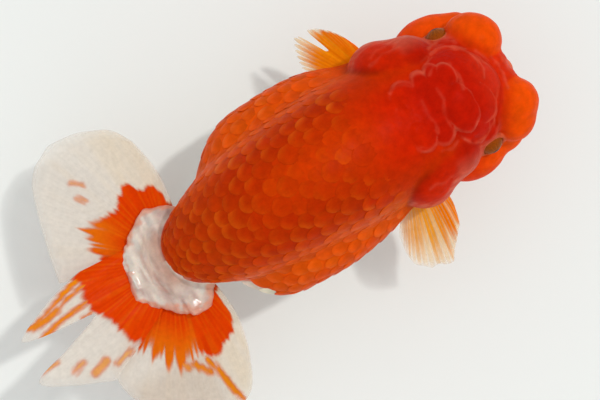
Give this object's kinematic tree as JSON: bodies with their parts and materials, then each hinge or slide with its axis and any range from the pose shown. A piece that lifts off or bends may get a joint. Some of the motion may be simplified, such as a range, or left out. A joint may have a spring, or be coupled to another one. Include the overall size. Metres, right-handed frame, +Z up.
{
  "type": "ranchu goldfish model",
  "caption": "Still, life-size model of a red and white ranchu goldfish with spread tail, held level on a low oval base by short rods.",
  "frame": {"origin": "centre of the stand base's underside", "axes": "+X along the fish towards its snout, +Y to the fish's left, +Z up"},
  "size_m": [0.1524, 0.0884, 0.0751],
  "materials": {
    "skin": "wet red-orange scaled skin",
    "pale_skin": "wet white skin with a pink tinge",
    "hood": "soft wet deep red head growth",
    "eye": "glossy dark brown",
    "orange_fin": "thin rayed membrane, orange fading to white",
    "pale_fin": "thin rayed white membrane with orange patches",
    "stand": "satin white",
    "steel": "satin"
  },
  "bodies": {
    "root": {"stand_base": "stand", "stand_rod_1": "steel", "stand_rod_2": "steel", "head": "skin", "trunk": "skin", "tail_stalk": "skin", "tail_root": "pale_skin", "wen_crown": "hood", "wen_snout_left": "hood", "wen_snout_right": "hood", "snout_middle": "hood", "wen_cheek_left": "hood", "wen_cheek_right": "hood", "gill_cover_left": "hood", "gill_cover_right": "hood", "lip_upper": "hood", "lip_lower": "hood", "eye_left": "eye", "eye_right": "eye", "pectoral_left": "orange_fin", "pectoral_right": "orange_fin", "pelvic_left": "orange_fin", "pelvic_right": "orange_fin", "anal_left": "pale_fin", "anal_right": "pale_fin", "tail_left_inner": "pale_fin", "tail_right_inner": "pale_fin", "tail_left_outer": "pale_fin", "tail_right_outer": "pale_fin"}
  },
  "joints": []
}
